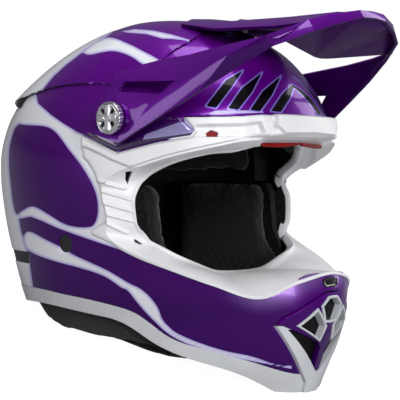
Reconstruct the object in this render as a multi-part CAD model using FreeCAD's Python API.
import FreeCAD, Part
import math
import os
from FreeCAD import Vector

# Motocross helmet: composite shell with chin bar, adjustable peak (visor) on two
# side screws and a crown screw, two-layer energy liner with a ball-and-socket
# interface, removable cheek pads and a D-ring chin strap.
# Modelling frame, millimetres: +X wearer's left, -Y forward, +Z up. Places along
# the helmet are given as fwd, the distance forward of the origin (fwd = -Y).
# The finished parts are pitched nose-up so that the helmet rests on its base.

# ---------------------------------------------------------------- dimensions
rest_pitch_deg = 12.9          # pitch from the worn attitude to the rest attitude
rest_fwd = 166.0               # chin rest point, forward
rest_front_z = -177.5          # chin rest point, height

shell_t = 3.6                  # laminate thickness of the outer shell
layer_gap = 0.35               # free gap between shell and outer liner
crown_z = 130.0                # top of the outer surface
min_ring_half_w = 13           # narrowest section used near the crown

socket_centre = Vector(0, -9, 5)   # centre of the ball-and-socket interface
socket_r = 111.9               # socket in the outer liner
ball_r = 111.5                 # ball of the inner liner
ball_floor_z = -8.0            # where the inner liner stops at the sides
nape_floor_z = -58.0           # where the inner liner stops at the nape
head_centre = Vector(0, -8, -2)
head_half_w = 76.0
head_half_l = 98.0
head_half_h = 106.0
comfort_t = 8.0                # crown pad thickness

pivot_fwd = 66.0               # visor pivot
pivot_z = 41.5
pivot_shank_r = 5.0            # visor screw shank
pivot_hole_r = 5.08            # running hole in the visor boss
boss_r = 13.0                  # visor boss
boss_x = (117.0, 122.5)        # inner and outer face of the visor boss
knob_r = 11.6                  # visor screw head
knob_t = 6.5
nut_r = 8.0                    # visor nut
visor_t = 2.6                  # visor sheet thickness
crown_screw_fwd = 74.0
crown_screw_dir = Vector(0, -0.21, 0.9777)
crown_screw_pos = Vector(0, -crown_screw_fwd, 120)

port_r = 7.4                   # round side port
port_fwd = 8.0
port_z = -59.0
port_x = (60, 140)

trim_t = 3.0                   # eyeport frame section
side_bezel_w = 2.7             # rims round the side and upper chin holes
top_bezel_w = 2.2
bezel_gap = 0.2
exhaust_gap = 0.3              # inserts in the rear windows
brow_gap = 0.2                 # inserts in the brow windows

pad_inner_x = 64.0             # inner face of the cheek pads
pad_joint_x = 83.0             # joint between soft pad and its core
pad_rear_end_z = -9.5          # top of the cheek pads
snap_x = (83.5, 87.6)          # snap sockets in the cheek core

strap_w = 25.0                 # chin strap webbing
strap_t = 1.8
strap_mid_fwd = -50.0          # centre line of the strap
strap_fwd = (strap_mid_fwd - strap_w / 2, strap_mid_fwd + strap_w / 2)
hinge_x, hinge_z = 87.0, -99.0     # anchor bar
ring_x, ring_z = 44.6, -116.6      # loop that holds the D-rings
ring_half = strap_w / 2 + 2.2      # half length of the inner D-ring
ring_wire_r = 1.9

# spans that reach past the helmet
WIDE = (-200, 200)             # across
LONG = (-260, 260)             # forward

# rows of the outer surface: height, front reach, rear reach, half width,
# forward shift of the widest point, fullness of the front half
shell_rows = [
    (-185, 163, 112, 97, 0, 2.0),
    (-160, 172, 112, 102, 0, 2.0),
    (-140, 179, 112, 107, 0, 2.0),
    (-118, 186, 115, 111, 0, 2.0),
    (-100, 188, 123, 115, 0, 2.05),
    (-80, 186, 131.5, 118, 0, 2.1),
    (-55, 182, 141.5, 120.5, 0, 2.2),
    (-30, 177, 148.2, 122.5, 0, 2.25),
    (-5, 170, 152.2, 123.5, 0, 2.25),
    (20, 163.5, 152, 122.5, 2, 2.22),
    (45, 160, 143, 118, 5, 2.18),
    (65, 153, 127, 110.5, 8, 2.12),
    (85, 139, 103, 98, 12, 2.06),
    (100, 123.5, 78, 84.5, 15, 2.02),
    (112, 103, 54, 68.5, 18, 2.0),
    (121, 80, 33, 50.5, 20, 2.0),
    (127.2, 53, 9, 31, 21.5, 2.0),
    (130, 22, -22, 0, 22, 2.0)]
# places in the row table where sections are taken; closer near the crown
section_stations = list(range(15)) + [14.5, 15, 15.5, 16, 16.4, 16.7]


# ------------------------------------------------------------ small helpers
def polygon_face(points):
    return Part.Face(Part.makePolygon(points + [points[0]]))


def prism_x(outline, x0=-220, x1=220):
    """Prism across the helmet; outline is (fwd, z)."""
    face = polygon_face([Vector(x0, -fwd, z) for fwd, z in outline])
    return face.extrude(Vector(x1 - x0, 0, 0))


def prism_y(outline, fwd0, fwd1):
    """Prism along the helmet; outline is (x, z)."""
    face = polygon_face([Vector(x, -fwd0, z) for x, z in outline])
    return face.extrude(Vector(0, fwd0 - fwd1, 0))


def prism_z(outline, z0, z1):
    """Upright prism; outline is (x, fwd)."""
    face = polygon_face([Vector(x, -fwd, z0) for x, fwd in outline])
    return face.extrude(Vector(0, 0, z1 - z0))


def block(x_span, fwd_span, z_span):
    return Part.makeBox(x_span[1] - x_span[0], fwd_span[1] - fwd_span[0],
                        z_span[1] - z_span[0],
                        Vector(x_span[0], -fwd_span[1], z_span[0]))


def cylinder_x(radius, x_span, fwd, z):
    return Part.makeCylinder(radius, x_span[1] - x_span[0],
                             Vector(x_span[0], -fwd, z), Vector(1, 0, 0))


def cylinder_y(radius, x, z, fwd_span):
    return Part.makeCylinder(radius, fwd_span[1] - fwd_span[0],
                             Vector(x, -fwd_span[1], z), Vector(0, 1, 0))


def crown_cylinder(radius, start, end):
    """Cylinder on the crown screw axis."""
    return Part.makeCylinder(radius, end - start,
                             crown_screw_pos + crown_screw_dir * start, crown_screw_dir)


def both_sides(near, far):
    """The x span on the wearer's left, then its mirror on the right."""
    return ((near, far), (-far, -near))


def inset(span, gap):
    return (span[0] + gap, span[1] - gap)


def mirror(shape):
    return shape.mirror(Vector(0, 0, 0), Vector(1, 0, 0))


def flipped(outline):
    return [(-x, z) for x, z in outline]


def symmetric(half):
    """Close a half outline with its mirror image."""
    return list(half) + [(-x, z) for x, z in reversed(half) if abs(x) > 1e-9]


def grow(outline, distance):
    """Move every point away from the mean point."""
    mid_x = sum(p[0] for p in outline) / len(outline)
    mid_z = sum(p[1] for p in outline) / len(outline)
    grown = []
    for x, z in outline:
        dx, dz = x - mid_x, z - mid_z
        reach = math.hypot(dx, dz)
        grown.append((x + dx / reach * distance, z + dz / reach * distance))
    return grown


def fuse(shapes):
    return shapes[0].multiFuse(shapes[1:]).removeSplitter()


def biggest(shape):
    return max(shape.Solids, key=lambda solid: solid.Volume)


def without_crumbs(shape, min_volume=20.0):
    kept = [solid for solid in shape.Solids if solid.Volume > min_volume]
    return kept[0] if len(kept) == 1 else Part.makeCompound(kept)


def solid_from(faces):
    shell = Part.makeShell(faces)
    shell.sewShape()
    solid = Part.makeSolid(shell)
    if solid.Volume < 0:
        solid.reverse()
    return solid


def polyhedron(triangles):
    faces = []
    for corners in triangles:
        # guards against triangles too thin to carry a face; they are left out
        try:
            faces.append(Part.Face(Part.makePolygon(list(corners) + [corners[0]])))
        except Exception:
            pass
    return solid_from(faces)


# ------------------------------------------------------------ outer surface
def row_at(station):
    """Row between the table rows, by a Catmull-Rom spline."""
    count = len(shell_rows)
    i = min(int(station), count - 2)
    u = station - i
    row1, row2 = shell_rows[i], shell_rows[i + 1]
    row0 = shell_rows[i - 1] if i else [2 * a - b for a, b in zip(row1, row2)]
    row3 = (shell_rows[i + 2] if i + 2 < count
            else [2 * b - a for a, b in zip(row1, row2)])
    return [0.5 * (2 * b + (c - a) * u + (2 * a - 5 * b + 4 * c - d) * u * u
                   + (3 * b - a - 3 * c + d) * u ** 3)
            for a, b, c, d in zip(row0, row1, row2, row3)]


def section_ring(row, depth, count=24):
    """Points of one horizontal section, starting and ending at the rear."""
    z, front, rear, half_w, widest_fwd, fullness = row
    front, rear, half_w = front - depth, rear - depth, half_w - depth
    if z > 0:
        z *= (crown_z - depth) / crown_z
    points = []
    for k in range(count + 1):
        angle = math.pi + 2 * math.pi * (k % count) / count
        along, across = math.cos(angle), math.sin(angle)
        power = fullness if along > 0 else 2.0
        reach = front - widest_fwd if along > 0 else rear + widest_fwd
        fwd = widest_fwd + reach * math.copysign(abs(along) ** (2 / power), along)
        x = half_w * math.copysign(abs(across) ** (2 / power), across)
        if k % count == 0:
            x = 0.0
        points.append(Vector(x, -fwd, z))
    return points


bodies_by_depth = {}


def body(depth):
    """Closed solid inside the outer surface moved inwards by depth."""
    if depth not in bodies_by_depth:
        rings = []
        for station in section_stations:
            row = row_at(station)
            if row[3] - depth < min_ring_half_w:
                break
            rings.append(section_ring(row, depth))
        surface = Part.BSplineSurface()
        surface.interpolate(rings)
        side = surface.toShape()
        caps = [Part.Face(Part.Wire([edge])) for edge in side.Edges
                if edge.BoundBox.ZLength < 1e-3]
        bodies_by_depth[depth] = solid_from([side] + caps)
    return bodies_by_depth[depth].copy()


def layer(outer_depth, inner_depth):
    return body(outer_depth).cut(body(inner_depth))


# ----------------------------------------------------------- eyeport funnel
# half rims of the funnel (half width, fwd, z), brow centre to chin centre;
# the points of the two tables go in pairs
rim_inner = [
    (0, 141, 23), (27, 138, 22), (38, 129.3, 18.7), (46, 122.9, 16.3),
    (62, 111, 14.5), (80.5, 93.4, 8), (88, 76, -0.6), (92, 70.5, -7),
    (99, 70.5, -14.4), (103.5, 71, -22.4), (103.5, 71.6, -32.5),
    (101.5, 72.6, -43.7), (94.5, 74.6, -51), (89.5, 77.3, -57.2),
    (85, 86.2, -62.4), (78, 92.5, -67.5), (58, 94.2, -74.7),
    (35, 95.5, -82), (18, 98, -83.6), (0, 99, -84)]
rim_outer = [
    (0, 165, 26.5), (28, 164.5, 26.5), (45, 161, 26.5), (58, 153, 26),
    (74, 142, 23), (99, 108, 14), (113, 78, 4), (117.5, 61, -3),
    (119.5, 51, -12), (119.7, 51, -22), (118.7, 54, -32),
    (118, 54, -42), (117, 53, -50), (115, 62, -58),
    (109.3, 82, -67), (102, 102, -74), (83, 135, -87),
    (61, 161, -97), (35, 179, -86), (0, 187, -80)]


def full_rim(half):
    right = [Vector(-x, -fwd, z) for x, fwd, z in half]
    left = [Vector(x, -fwd, z) for x, fwd, z in half]
    return right + list(reversed(left[1:-1]))


def funnel(growth, back=24.0):
    """Solid that removes the eyeport, its wall moved by growth into the material."""
    inner, outer = full_rim(rim_inner), full_rim(rim_outer)
    count = len(inner)
    normals = []
    for k in range(count):
        after = (k + 1) % count
        along = (inner[after] - inner[k - 1]) + (outer[after] - outer[k - 1])
        normal = along.cross(outer[k] - inner[k])
        normal.normalize()
        normals.append(normal)
    if normals[0].z < 0:
        normals = [normal * -1 for normal in normals]
    inner_ring = [inner[k] + normals[k] * growth for k in range(count)]
    # the outer ring is carried on past the shell
    outer_ring = [outer[k] + normals[k] * growth + (outer[k] - inner[k]) * 0.9
                  for k in range(count)]
    # the back ring lies further inside and is slightly smaller
    mid_z = -28
    back_ring = [Vector(p.x * 0.93, p.y + back, mid_z + (p.z - mid_z) * 0.93)
                 for p in inner_ring]
    front_tip = Vector(0, -330, -20)
    back_tip = Vector(0, max(p.y for p in back_ring) + 2, mid_z)
    triangles = []
    for k in range(count):
        m = (k + 1) % count
        triangles += [(inner_ring[k], inner_ring[m], outer_ring[m]),
                      (inner_ring[k], outer_ring[m], outer_ring[k]),
                      (inner_ring[k], back_ring[k], back_ring[m]),
                      (inner_ring[k], back_ring[m], inner_ring[m]),
                      (outer_ring[k], outer_ring[m], front_tip),
                      (back_ring[m], back_ring[k], back_tip)]
    return polyhedron(triangles)


eyeport = funnel(0.0)
eyeport_frame_outside = funnel(trim_t, 0.5)
eyeport_clearance = funnel(trim_t + 0.3)

# ------------------------------------------------- outlines and shared cutters
# side view outline (fwd, z) of the shell opening for the eyeport frame
frame_opening = [
    (29, 22), (32, 11), (38, 6), (43, -1), (50, -16), (54, -28),
    (55, -38), (53, -41), (38, -48), (38, -50.5), (60, -58),
    (82, -67), (102, -74), (127, -83), (143, -90), (154, -95),
    (161, -97), (168, -96), (174, -92), (179, -86), (183, -81),
    (187, -79.7), (215, -79.7), (215, 26.4), (119, 26.4), (96, 22.5),
    (64, 14.5), (44, 23), (28, 29)]
# the same outline pulled in a little for the frame itself
frame_outline = [
    (29.5, 21.7), (32.5, 11.2), (38.5, 6.2), (43.5, -0.8),
    (50.5, -15.8), (54.5, -27.8), (55.5, -38.2), (53.3, -41.4),
    (39, -48.1), (39, -50.4), (60, -57.6), (82, -66.6),
    (102, -73.6), (127, -82.6), (143, -89.6), (154, -94.6),
    (161, -96.6), (168, -95.5), (173.8, -91.6), (178.8, -85.6),
    (183, -80.6), (187, -79.3), (215, -79.3), (215, 26),
    (119, 26), (96, 22.1), (64, 14.0), (44, 22.5), (28.6, 28.4)]
# brow moulding (fwd, z): its opening and its own outline
brow_opening = [(126, 26.9), (215, 26.9), (215, 44.5), (157, 43.6), (126, 42.4),
                (111.5, 42.0), (121, 31.5), (119, 26.9)]
brow_outline = [(126, 27.2), (215, 27.2), (215, 44.2), (157, 43.3), (126, 42.1),
                (112.3, 41.7), (121.5, 31.6), (119.5, 27.2)]

# lower edges (fwd, z): where the shell ends, and where the base trim ends
shell_edge = [
    (-190, -101), (-150, -101), (-100, -99.5), (-60, -98.5),
    (-30, -98.5), (0, -101), (29, -104), (54, -108), (70, -112.5),
    (83, -121), (92, -128), (104, -134.5), (119, -139),
    (138, -145), (154, -152), (170, -163), (185, -172), (230, -190)]
trim_edge = [
    (-190, -119), (-150, -117.5), (-110, -116.4), (-75, -112.5),
    (-41, -110.5), (-18, -111), (13, -114), (39, -117),
    (55, -120), (67, -125.5), (80, -134), (95, -142), (117, -150),
    (133, -155.5), (146, -163.5), (154, -172.5), (162, -181),
    (172, -188), (190, -200), (230, -220)]

# chin openings, front view (x, z)
chin_opening = symmetric([(0, -95.5), (9, -96), (26, -104), (44, -114.5),
                          (48.5, -120.5), (10.5, -169), (7.6, -192), (0, -192)])
vee_outer = symmetric([(48, -120.8), (10, -169), (7.1, -192), (0, -192)])
vee_inner = symmetric([(40, -123.8), (2.2, -160.5), (0, -161)])
grille_outline = symmetric([(0, -96), (9, -96.5), (26, -104.5), (43.5, -115),
                            (46.5, -119.8), (39, -123.2), (9.5, -135.6),
                            (4.2, -141), (3.4, -160), (0, -160)])
side_hole = [(31, -121.5), (17.5, -110.5), (6.8, -123), (9.2, -133.5)]
top_hole = symmetric([(0, -100.8), (5, -101), (12, -107), (7, -118.5), (0, -118.5)])


def chin_prism(outline):
    return prism_y(outline, 120, 215)


def above_line(line, shift=0.0):
    """Everything above a smooth side view line (fwd, z)."""
    points = [Vector(-220, -fwd, z + shift) for fwd, z in line]
    curve = Part.BSplineCurve()
    curve.interpolate(Points=points)
    closing = [points[-1], Vector(-220, -230, 200), Vector(-220, 190, 200), points[0]]
    wire = Part.Wire([curve.toShape()] + Part.makePolygon(closing).Edges)
    return Part.Face(wire).extrude(Vector(440, 0, 0))


def rest_z(fwd, up=0.0):
    """Height of the rest plane, raised by up."""
    slope = math.tan(math.radians(rest_pitch_deg))
    return rest_front_z + (rest_fwd - fwd) * slope + up


def above_rest(up=0.0):
    return prism_x([(-260, rest_z(-260, up)), (300, rest_z(300, up)),
                    (300, 400), (-260, 400)], -300, 300)


# rear windows: one upper, then lower centre, left and right
upper_window_x, upper_window_z = (-52, 52), (49, 58)
lower_window_z = (-78, -68)
rear_fwd = (-190, -60)
upper_window = block(upper_window_x, rear_fwd, upper_window_z)
lower_windows = [block((-38, 38), rear_fwd, lower_window_z)] + [
    block(span, (-120, -44), lower_window_z) for span in both_sides(56, 140)]
crown_vents = [block(span, (62, 96), (80, 140)) for span in both_sides(14, 26)]
port_holes = [cylinder_x(port_r, span, port_fwd, port_z) for span in both_sides(*port_x)]
nut_holes = [cylinder_x(nut_r + 0.25, span, pivot_fwd, pivot_z)
             for span in both_sides(90, 140)]
crown_hole = crown_cylinder(7.25, -20, 30)


# --------------------------------------------------------------- hard shells
def make_outer_shell():
    openings = [prism_x(frame_opening), prism_x(brow_opening), eyeport_clearance,
                chin_prism(chin_opening), upper_window, crown_hole] \
        + lower_windows + crown_vents + port_holes + nut_holes
    shell = layer(0, shell_t).common(above_line(shell_edge, 0.3))
    return biggest(shell.cut(openings))


def make_base_trim():
    trim = layer(-0.6, 6.4).common(above_line(trim_edge)).cut(above_line(shell_edge))
    trim = trim.cut(chin_prism(grow(chin_opening, 0.4))).common(above_rest())
    return without_crumbs(trim)


def make_eyeport_frame():
    flange = layer(-1.0, shell_t).common(prism_x(frame_outline))
    wall = eyeport_frame_outside.cut(eyeport).common(body(-1.0))
    wall = wall.common(block((-130, 130), (40, 200), (-99, 26.2)))
    return biggest(flange.cut(eyeport).fuse(wall))


# windows in the brow moulding, left one
brow_window_x, brow_window_z = (67, 81), (29.5, 37.5)


def brow_blocks(gap):
    spans = both_sides(*inset(brow_window_x, gap))
    return [block(span, (110, 200), inset(brow_window_z, gap)) for span in spans]


def make_brow_moulding():
    brow = layer(-1.4, shell_t).common(prism_x(brow_outline)).cut(eyeport_clearance)
    return biggest(brow.cut(brow_blocks(0)))


def make_brow_vent_inserts():
    return Part.makeCompound([biggest(layer(0.8, shell_t).common(core))
                              for core in brow_blocks(brow_gap)])


def make_chin_vent_frame():
    vee = layer(-2.4, shell_t).common(chin_prism(vee_outer))
    vee = vee.cut(chin_prism(vee_inner)).cut(chin_prism(grille_outline))
    vee = vee.common(above_rest())
    return without_crumbs(vee.cut(block((-60, 60), (120, 215), (-118, -60))))


def make_chin_grille():
    grille = layer(-1.6, shell_t).common(chin_prism(grow(grille_outline, -0.3)))
    side_seat = grow(side_hole, side_bezel_w + bezel_gap)
    top_seat = grow(top_hole, top_bezel_w + bezel_gap)
    seats = [side_seat, flipped(side_seat), top_seat]
    return biggest(grille.cut([chin_prism(seat) for seat in seats]))


def make_chin_vent_bezels():
    def bezel(hole, width):
        rim = layer(-2.6, shell_t).common(chin_prism(grow(hole, width)))
        return biggest(rim.cut(chin_prism(hole)))

    sides = [bezel(hole, side_bezel_w) for hole in (side_hole, flipped(side_hole))]
    top = bezel(top_hole, top_bezel_w)
    # the side rims give way to the top one
    top_seat = grow(top_hole, top_bezel_w + bezel_gap)
    sides = [biggest(side.cut(chin_prism(top_seat))) for side in sides]
    return Part.makeCompound(sides + [top])


def make_chin_vent_screen():
    screen = layer(shell_t + 0.4, shell_t + 1.4)
    screen = screen.common(chin_prism(grow(chin_opening, 0.2))).common(above_rest(4))
    return biggest(screen.cut(eyeport_clearance))


def make_rear_exhaust_upper():
    core = block(inset(upper_window_x, exhaust_gap), rear_fwd,
                 inset(upper_window_z, exhaust_gap))
    return biggest(layer(0.8, 9.0).common(core))


def make_rear_exhaust_lower():
    cores = [((-37.7, 37.7), rear_fwd)]
    cores += [(span, (-119, -44.3)) for span in both_sides(56.3, 140)]
    z_span = inset(lower_window_z, exhaust_gap)
    return Part.makeCompound([biggest(layer(0.8, 8.0).common(block(x_span, fwd, z_span)))
                              for x_span, fwd in cores])


def make_side_port_plugs():
    return Part.makeCompound(
        [biggest(layer(0.9, shell_t + 2.5).common(
            cylinder_x(port_r - 0.2, span, port_fwd, port_z)))
         for span in both_sides(*port_x)])


def make_visor_nuts():
    """Inserts in the shell: two at the pivots and one on the crown."""
    nuts = []
    for span in both_sides(99.5, 140):
        nut = body(1.0).common(cylinder_x(nut_r, span, pivot_fwd, pivot_z))
        bore = cylinder_x(pivot_shank_r + 0.06, inset(span, -5), pivot_fwd, pivot_z)
        nuts.append(biggest(nut.cut(bore)))
    crown_nut = body(0.6).common(crown_cylinder(7.0, -9, 30))
    nuts.append(biggest(crown_nut.cut(crown_cylinder(3.06, -20, 40))))
    return Part.makeCompound(nuts)


# ------------------------------------------------------------------- liners
# hollow below the socket, plan view (x, fwd)
pocket_outline = [
    (99, -42), (99, 28), (94, 55), (86, 84), (60, 100),
    (-60, 100), (-86, 84), (-94, 55), (-99, 28), (-99, -42),
    (-78, -76), (-40, -96), (40, -96), (78, -76)]

# slip discs: degrees from straight ahead towards the left, degrees upwards
disc_directions = [(30, 35), (-30, 35), (150, 30), (-150, 30), (0, 82)]
disc_r = 11


def disc_cylinder(radius, azimuth, elevation):
    azimuth, elevation = math.radians(azimuth), math.radians(elevation)
    direction = Vector(math.sin(azimuth) * math.cos(elevation),
                       -math.cos(azimuth) * math.cos(elevation), math.sin(elevation))
    start = socket_centre + direction * (socket_r - 4)
    return Part.makeCylinder(radius, 12, start, direction)


def make_outer_liner():
    cutters = [Part.makeSphere(socket_r, socket_centre),
               prism_z(pocket_outline, -230, -4),
               eyeport_clearance,
               block(WIDE, (96, 260), (-240, 16)),
               block(WIDE, LONG, (-240, -90)),
               block((-96, 96), (60, 260), (-95, 14)),
               crown_cylinder(8.0, -12, 30),
               block((-53, 53), (-150, -60), (48, 59)).common(layer(0, 10.0))]
    for span in both_sides(86, 140):
        cutters.append(cylinder_x(nut_r + 1.0, span, pivot_fwd, pivot_z))
        cutters.append(cylinder_x(port_r, span, port_fwd, port_z))
    for window in lower_windows:
        cutters.append(window.common(layer(0, 9.0)))
    liner = body(shell_t + layer_gap)
    for cutter in cutters:
        liner = liner.cut(cutter)
    liner = biggest(liner)
    # seats of the slip discs
    for direction in disc_directions:
        seat = disc_cylinder(disc_r + 0.1, *direction).common(
            Part.makeSphere(socket_r + 1.6, socket_centre))
        liner = biggest(liner.cut(seat))
    return liner


def make_slip_discs():
    """Discs between the two liners, seated in the outer one."""
    return Part.makeCompound(
        [biggest(disc_cylinder(disc_r, *direction).cut(
            Part.makeSphere(socket_r - 0.1, socket_centre)).common(
            Part.makeSphere(socket_r + 1.5, socket_centre)))
         for direction in disc_directions])


def head_form(extra):
    """Head ellipsoid, enlarged by extra."""
    matrix = FreeCAD.Matrix()
    matrix.A11 = head_half_w + extra
    matrix.A22 = head_half_l + extra
    matrix.A33 = head_half_h + extra
    matrix.A14, matrix.A24, matrix.A34 = head_centre.x, head_centre.y, head_centre.z
    return Part.makeSphere(1.0).transformGeometry(matrix)


def cover_zone(floor_z, nape_z, half_deg):
    """All above floor_z, and down to nape_z within half_deg of straight back."""
    apex_fwd, reach = 9, 260
    fan = [(0, apex_fwd)]
    for k in range(-6, 7):
        angle = math.radians(half_deg) * k / 6
        fan.append((reach * math.sin(angle), apex_fwd - reach * math.cos(angle)))
    nape = prism_z(fan, -200, 200).common(block(WIDE, (-260, 0), (nape_z, floor_z + 1)))
    return block(WIDE, LONG, (floor_z, 200)).fuse(nape)


def make_inner_liner():
    ball = Part.makeSphere(ball_r, socket_centre)
    liner = ball.common(cover_zone(ball_floor_z, nape_floor_z, 38))
    liner = liner.cut(head_form(comfort_t + 0.4))
    return biggest(liner.cut(block(WIDE, (52, 260), (-120, 32))))


def make_crown_pad():
    pad = head_form(comfort_t).cut(head_form(0)).common(cover_zone(0, -50, 34))
    pad = pad.cut(block(WIDE, (48, 260), (-120, 35)))
    for span in both_sides(20, 34):
        pad = pad.cut(block(span, (-60, 70), (60, 140)))
    return biggest(pad)


def make_chin_bar_liner():
    liner = layer(7.0, 20.0).common(block((-88, 88), (104, 200), (-148, -60)))
    liner = liner.cut(eyeport_clearance)
    liner = liner.cut(block((-13, 13), (100, 220), (-134, -104)))
    for span in both_sides(17, 30):
        liner = liner.cut(block(span, (100, 220), (-130, -112)))
    return biggest(liner.common(above_rest(6)))


def make_neck_roll():
    zone = prism_x([(-200, -92), (-75, -92), (-75, rest_z(-75, 4)),
                    (-200, rest_z(-200, 4))])
    return biggest(layer(13.0, 30.0).common(zone))


def make_neck_roll_plate():
    """Plate below the outer liner at the nape."""
    zone = block((-140, 140), (-200, -75), (-104, -90.6))
    return biggest(layer(7.0, 12.6).common(zone))


# ------------------------------------------------- cheek pads, left side only
pad_front_x = 78               # outer face near the front end
# plan view (x, fwd) of the soft pad and of its core
pad_outline = [
    (pad_inner_x + 6, -36), (pad_joint_x - 1.5, -36), (pad_joint_x, -30),
    (pad_joint_x, 28), ((pad_joint_x + pad_front_x) / 2 + 1, 54), (pad_front_x, 80),
    (pad_inner_x + 9, 88), (pad_inner_x + 2, 70), (pad_inner_x, 40), (pad_inner_x, -20)]
core_outline = [(83.5, -34), (98.2, -34), (98.2, 27), (93, 53), (86.5, 70),
                (81, 79), (79, 79), (83.5, 40)]
snap_places = [(-12, -40), (44, -40), (20, -88)]      # (fwd, z)


def pad_zone(up):
    """Side view limits of the cheek parts, ending above the rest plane by up."""
    top = pad_rear_end_z
    return prism_x([(-60, top), (60, top), (66, top - 8), (70, -50), (80, -68),
                    (95, -80), (95, rest_z(95, up)), (-60, rest_z(-60, up))])


def make_cheek_pad():
    pad = biggest(prism_z(pad_outline, -170, 0).common(pad_zone(4.0)))
    # the fillet may fail on the upright edges; the pad then stays sharp
    try:
        pad = pad.makeFillet(5.0, [edge for edge in pad.Edges
                                   if edge.BoundBox.ZLength > 60
                                   and edge.BoundBox.XLength < 3])
    except Exception:
        pass
    return pad


def make_cheek_core():
    core = prism_z(core_outline, -170, 0).common(pad_zone(26.0))
    core = core.common(body(shell_t + 6))
    for fwd, z in snap_places:
        core = core.cut(cylinder_x(4.2, snap_x, fwd, z))
    return biggest(core)


def make_cheek_snaps():
    return Part.makeCompound([cylinder_x(4.0, (83.6, 87.4), fwd, z)
                              for fwd, z in snap_places])


def make_pull_tab(pad):
    """Tab with a hole at the lower front of the pad."""
    tab_z = rest_z(95, 12)
    tab = block((74, 76), (84, 101), (tab_z, tab_z + 14))
    return biggest(tab.cut([cylinder_x(3.2, (70, 80), 94.5, tab_z + 7), pad]))


# -------------------------------------------------------------- chin strap
# webbing centre lines (x, z), outside to middle; the right one is mirrored later
left_path = [(83.6, -103.4), (79, -108.4), (72, -112.4), (62, -115.6),
             (50, -116.6)]
right_path = [(83.6, -103.4), (79, -108.4), (70, -112.8), (56, -116.4),
              (36, -118), (14, -118.6), (-8, -118.6)]


def webbing(path):
    """Strap-wide band of webbing along the (x, z) path."""
    upper, lower = [], []
    for k, (x, z) in enumerate(path):
        before = path[max(k - 1, 0)]
        after = path[min(k + 1, len(path) - 1)]
        dx, dz = after[0] - before[0], after[1] - before[1]
        length = math.hypot(dx, dz)
        offset_x = -dz / length * strap_t / 2
        offset_z = dx / length * strap_t / 2
        upper.append((x + offset_x, z + offset_z))
        lower.append((x - offset_x, z - offset_z))
    return prism_y(upper + lower[::-1], *strap_fwd)


def strap_eye():
    """Eye round the anchor bar, and the short web that leaves it."""
    eye = cylinder_y(4.0, hinge_x, hinge_z, strap_fwd).cut(
        cylinder_y(2.06, hinge_x, hinge_z, strap_fwd))
    web = webbing([(hinge_x - 2.4, hinge_z - 2.6), (83.3, -103.7)])
    return [eye, web.cut(cylinder_y(3.0, hinge_x, hinge_z, strap_fwd))]


def make_chin_strap_left():
    strap = fuse(strap_eye() + [webbing(left_path)])
    loop_fwd = inset(strap_fwd, 2)
    loop = cylinder_y(6.3, ring_x, ring_z, loop_fwd).cut(
        cylinder_y(4.7, ring_x, ring_z, loop_fwd))
    joint = webbing([(50.2, -116.6), (49.8, -116.6)])
    return biggest(fuse([strap, loop, joint]))


def make_chin_strap_right():
    return biggest(fuse([mirror(piece) for piece in strap_eye() + [webbing(right_path)]]))


def make_strap_anchors():
    span = inset(strap_fwd, -2.9)
    pin = cylinder_y(2.0, hinge_x, hinge_z, span)
    ears = [block((hinge_x - 3.2, 104), (fwd - 1.1, fwd + 1.1),
                  (hinge_z - 3.2, hinge_z + 7)) for fwd in inset(span, 1.3)]
    bridge = block((hinge_x - 3.2, hinge_x + 8), inset(span, 0.2),
                   (hinge_z + 4.6, hinge_z + 7))
    anchor = biggest(fuse([pin] + ears + [bridge]).common(body(6.9)))
    return Part.makeCompound([anchor, mirror(anchor)])


def make_d_ring(tilt_deg, shift_x, half):
    """Straight bar in the strap loop, with a half-round bow towards -X."""
    rear_end = Vector(0, -(strap_mid_fwd - half), 0)
    front_end = Vector(0, -(strap_mid_fwd + half), 0)
    bow_edge = Part.Arc(front_end, Vector(-half * 1.02, -strap_mid_fwd, 0),
                        rear_end).toShape()
    bar = cylinder_y(ring_wire_r, 0, 0, (strap_mid_fwd - half, strap_mid_fwd + half))
    start_tangent = bow_edge.Curve.tangent(bow_edge.FirstParameter)[0]
    profile = Part.Wire([Part.makeCircle(ring_wire_r, front_end, start_tangent)])
    bow = Part.Wire([bow_edge]).makePipeShell([profile], True, False)
    ring = fuse([bar, bow, Part.makeSphere(ring_wire_r, rear_end),
                 Part.makeSphere(ring_wire_r, front_end)])
    ring.rotate(Vector(0, 0, 0), Vector(0, 1, 0), tilt_deg)
    ring.translate(Vector(ring_x + shift_x, 0, ring_z))
    return biggest(ring)


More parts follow.
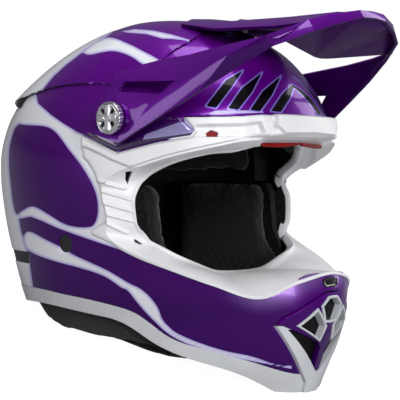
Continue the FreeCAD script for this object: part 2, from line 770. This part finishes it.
# ------------------------------------------------------------------- visor
# corner points (x, fwd, z) of the left half of the visor sheet
visor_points = {
    # lower edge, from the pivot arm to the front centre
    "edge0": (124.5, 72.3, 21.9), "edge1": (112.5, 111.7, 45.2),
    "edge2": (103.5, 138.1, 61.3), "edge3": (92, 165.7, 77.5),
    "edge4": (80, 190, 93), "edge5": (59.5, 213.2, 104.5),
    "edge6": (42.5, 221, 110.4), "edge7": (16, 228.2, 117.5),
    "edge8": (0, 229.5, 118.2),
    # end of the pivot arm
    "arm0": (125.8, 24.8, 35.6), "arm1": (125, 48, 29),
    "arm2": (114, 53.9, 67.8), "arm3": (107.5, 54.8, 79.3),
    # upper edge
    "top1": (99, 73.1, 84.5), "top2": (94, 90, 88), "top3": (91, 117, 90.5),
    "top4": (93, 141, 93.5), "top5": (90, 168, 97.5),
    # inner points of the side
    "side0": (114.5, 62.5, 63), "side1": (110.5, 65, 71),
    "side2": (104.5, 113, 69.5), "side3": (110, 103, 59.5),
    "mid3": (103.5, 122, 68.5), "mid4": (98, 160, 86.5), "mid5": (86, 186, 100.5),
    # upper line of the front lip
    "lip6": (62, 209, 113), "lip7": (44, 217.5, 118.5),
    "lip8": (17, 225.5, 123.2), "lip9": (0, 226.5, 123.8),
    # deck behind the lip
    "deck0": (0, 176, 92.5), "deck1": (10, 177, 93), "deck2": (24, 221, 114),
    "deck3": (0, 222, 114.5), "deck4": (79, 193, 99.5)}

# triangles of the left half: the side and lip, then the deck
visor_triangles = """
    arm0 arm1 side0, arm0 side0 arm2, arm1 edge0 side0, edge0 side3 side0,
    edge0 edge1 side3, arm2 side0 side1, arm2 side1 arm3, arm3 side1 top1,
    top1 side1 side2, top1 side2 top2, side3 edge1 mid3, side3 mid3 side2,
    top2 side2 mid3, top2 mid3 top3, edge1 edge2 mid3, mid3 edge2 mid4,
    top3 mid3 top4, mid3 mid4 top4, edge2 edge3 mid4, top4 mid4 top5,
    edge3 edge4 mid5, edge3 mid5 mid4, mid4 mid5 top5,
    edge4 edge5 lip6, edge4 lip6 mid5, edge5 edge6 lip7, edge5 lip7 lip6,
    edge6 edge7 lip8, edge6 lip8 lip7, edge7 edge8 lip9, edge7 lip9 lip8,
    top5 mid5 deck4, mid5 lip6 deck4, deck4 lip6 deck1, lip6 lip7 deck1,
    lip7 deck2 deck1, lip7 lip8 deck2, lip8 lip9 deck3, lip8 deck3 deck2,
    deck2 deck3 deck0, deck2 deck0 deck1"""

# bridge over the crown, front to rear: centre, shoulder and edge (x, fwd, z)
bridge_stations = [
    ((0, 222, 123.2), (34, 216, 121), (46, 213, 114.5)),
    ((0, 170, 122.5), (30, 168, 121.5), (47, 166, 113)),
    ((0, 110, 124.2), (31, 108, 122.8), (47, 106, 115.6)),
    ((0, 66, 130.8), (28, 66, 128.2), (42, 66, 122.8))]


def point_key(point):
    return (round(point.x, 3) + 0.0, round(point.y, 3), round(point.z, 3))


def turn_alike(triangles):
    """Turn all triangles the same way round, spreading from the first."""
    users = {}
    for i, corners in enumerate(triangles):
        for j in range(3):
            side = frozenset((point_key(corners[j]), point_key(corners[(j + 1) % 3])))
            users.setdefault(side, []).append(i)
    done = set()
    for first in range(len(triangles)):
        if first in done:
            continue
        done.add(first)
        stack = [first]
        while stack:
            corners = triangles[stack.pop()]
            for j in range(3):
                start, end = point_key(corners[j]), point_key(corners[(j + 1) % 3])
                for other in users[frozenset((start, end))]:
                    if other in done:
                        continue
                    keys = [point_key(point) for point in triangles[other]]
                    if (keys.index(end) - keys.index(start)) % 3 == 1:
                        head, second, third = triangles[other]
                        triangles[other] = [head, third, second]
                    done.add(other)
                    stack.append(other)


def thick_sheet(half_triangles):
    """Mirror a half sheet and thicken it inwards into a closed solid."""
    triangles = []
    for corners in half_triangles:
        for side in (1, -1):
            triangles.append([Vector(side * x, -fwd, z) for x, fwd, z in corners])
    turn_alike(triangles)
    inner_target = Vector(0, -70, 20)
    facing_in = 0
    for a, b, c in triangles:
        normal = (b - a).cross(c - a)
        facing_in += normal.dot(inner_target - (a + b + c) * (1 / 3.0))
    if facing_in > 0:
        triangles = [(a, c, b) for a, b, c in triangles]
    # corner normals, weighted by the corner angles
    normals = {}
    for a, b, c in triangles:
        normal = (b - a).cross(c - a)
        normal.normalize()
        for corner, second, third in ((a, b, c), (b, c, a), (c, a, b)):
            angle = (second - corner).getAngle(third - corner)
            key = point_key(corner)
            normals[key] = normals.get(key, Vector(0, 0, 0)) + normal * angle
    inner = {}
    for key, normal in normals.items():
        normal.normalize()
        inner[key] = Vector(*key) - normal * visor_t
    sides = {}
    faces = []
    for a, b, c in triangles:
        for start, end in ((a, b), (b, c), (c, a)):
            sides[(point_key(start), point_key(end))] = (start, end)
        faces.append((a, b, c))
        faces.append((inner[point_key(a)], inner[point_key(c)], inner[point_key(b)]))
    # close the sheet along its free edges
    for (start_key, end_key), (start, end) in sides.items():
        if (end_key, start_key) not in sides:
            faces.append((start, inner[start_key], inner[end_key]))
            faces.append((start, inner[end_key], end))
    return polyhedron(faces)


def visor_sheet():
    return thick_sheet([[visor_points[name] for name in triangle.split()]
                        for triangle in visor_triangles.split(",")])


def visor_bridge():
    triangles = []
    for front, rear in zip(bridge_stations, bridge_stations[1:]):
        centre, shoulder, edge = front
        rear_centre, rear_shoulder, rear_edge = rear
        triangles += [(centre, shoulder, rear_centre),
                      (shoulder, rear_shoulder, rear_centre),
                      (shoulder, edge, rear_shoulder),
                      (edge, rear_edge, rear_shoulder)]
    return thick_sheet(triangles)


def crown_slot():
    """Lengthwise slot for the crown screw, which allows the visor to tilt."""
    slot_r, slot_half, bottom_z, height = 3.4, 12.0, 105, 40
    ends = (crown_screw_fwd - slot_half, crown_screw_fwd + slot_half)
    rounds = [Part.makeCylinder(slot_r, height, Vector(0, -fwd, bottom_z), Vector(0, 0, 1))
              for fwd in reversed(ends)]
    return fuse(rounds + [block((-slot_r, slot_r), ends, (bottom_z, bottom_z + height))])


def make_visor():
    # webs join the bridge to the deck behind the front lip
    web_zone = prism_x([(184, 121.5), (184, 98), (216, 112), (219, 121.5)])
    webs = [block(span, (186, 217), (96, 121)).common(web_zone)
            for span in both_sides(28, 31)]
    bosses = [cylinder_x(boss_r, span, pivot_fwd, pivot_z)
              for span in both_sides(*boss_x)]
    visor = visor_sheet().multiFuse([visor_bridge()] + webs + bosses)
    # pivot hole, and room round the screw head
    for hole_x, recess_x in zip(both_sides(100, 150), both_sides(boss_x[1], 150)):
        visor = visor.cut(cylinder_x(pivot_hole_r, hole_x, pivot_fwd, pivot_z))
        visor = visor.cut(cylinder_x(knob_r + 1.2, recess_x, pivot_fwd, pivot_z))
    visor = visor.cut(crown_slot())
    return biggest(visor.removeSplitter())


def make_visor_screw():
    """Slotted left screw: head outside the visor, shank through it into the nut."""
    head_x = boss_x[1] + 0.2
    top_x = head_x + knob_t
    head = cylinder_x(knob_r, (head_x, top_x), pivot_fwd, pivot_z)
    rim = [edge for edge in head.Edges
           if edge.Closed and abs(edge.CenterOfMass.x - top_x) < 0.01]
    head = head.makeChamfer(1.2, rim)
    head = head.cut(block((top_x - 2.2, top_x + 0.8),
                          (pivot_fwd - 1.3, pivot_fwd + 1.3),
                          (pivot_z - knob_r - 2, pivot_z + knob_r + 2)))
    # six grip grooves round the rim
    for k in range(6):
        angle = math.radians(60 * k + 30)
        head = head.cut(cylinder_x(1.9, (120, 135),
                                   pivot_fwd + knob_r * math.cos(angle),
                                   pivot_z + knob_r * math.sin(angle)))
    shank = cylinder_x(pivot_shank_r, (99, 124), pivot_fwd, pivot_z)
    return biggest(head.fuse(shank).removeSplitter())


def make_crown_screw():
    head = crown_cylinder(7.4, 10.3, 12.1)
    head = head.cut(block((-1.1, 1.1), (crown_screw_fwd - 12, crown_screw_fwd + 12),
                          (130.9, 136.9)))
    return biggest(head.fuse(crown_cylinder(3.0, -6, 11)).removeSplitter())


# ------------------------------------------------------------------ assembly
cheek_pad = make_cheek_pad()
parts = {
    "outer_shell": make_outer_shell(),
    "base_trim": make_base_trim(),
    "eyeport_frame": make_eyeport_frame(),
    "brow_moulding": make_brow_moulding(),
    "brow_vent_inserts": make_brow_vent_inserts(),
    "chin_vent_frame": make_chin_vent_frame(),
    "chin_grille": make_chin_grille(),
    "chin_vent_bezels": make_chin_vent_bezels(),
    "chin_vent_screen": make_chin_vent_screen(),
    "rear_exhaust_upper": make_rear_exhaust_upper(),
    "rear_exhaust_lower": make_rear_exhaust_lower(),
    "side_port_plugs": make_side_port_plugs(),
    "visor_nuts": make_visor_nuts(),
    "outer_liner": make_outer_liner(),
    "inner_liner": make_inner_liner(),
    "crown_pad": make_crown_pad(),
    "liner_slip_discs": make_slip_discs(),
    "chin_bar_liner": make_chin_bar_liner(),
    "neck_roll": make_neck_roll(),
    "neck_roll_plate": make_neck_roll_plate(),
    "cheek_pad_left": cheek_pad,
    "cheek_core_left": make_cheek_core(),
    "cheek_snaps_left": make_cheek_snaps(),
    "pull_tab_left": make_pull_tab(cheek_pad),
    "chin_strap_left": make_chin_strap_left(),
    "chin_strap_right": make_chin_strap_right(),
    "strap_anchors": make_strap_anchors(),
    "d_ring_inner": make_d_ring(0, -2.1, ring_half),
    "d_ring_outer": make_d_ring(32, 2.1, ring_half + 4.3),
    "visor": make_visor(),
    "visor_screw_left": make_visor_screw(),
    "visor_crown_screw": make_crown_screw()}
for name in ("cheek_pad", "cheek_core", "cheek_snaps", "pull_tab", "visor_screw"):
    parts[name + "_right"] = mirror(parts[name + "_left"])

# --------------------------------------------------- placement and output
pitch = FreeCAD.Rotation(Vector(1, 0, 0), -rest_pitch_deg)
placement = FreeCAD.Placement(Vector(0, 0, 0), pitch)
pitched = {}
for name, shape in parts.items():
    turned = shape.copy()
    turned.Placement = placement.multiply(turned.Placement)
    pitched[name] = turned.copy()

# origin: centre of the length in Y of the outside parts, on the rest plane
outside_parts = ("visor", "outer_shell", "base_trim", "rear_exhaust_upper",
                 "rear_exhaust_lower", "chin_vent_bezels")
outside_y = [point.y for name in outside_parts
             for point in pitched[name].tessellate(0.4)[0]]
rest_point = pitch.multVec(Vector(0, -rest_fwd, rest_front_z))
origin_shift = Vector(0, -0.5 * (min(outside_y) + max(outside_y)), -rest_point.z)

os.makedirs("parts", exist_ok=True)
for name, shape in pitched.items():
    shape.translate(origin_shift)
    shape.exportStep("parts/%s.step" % name)
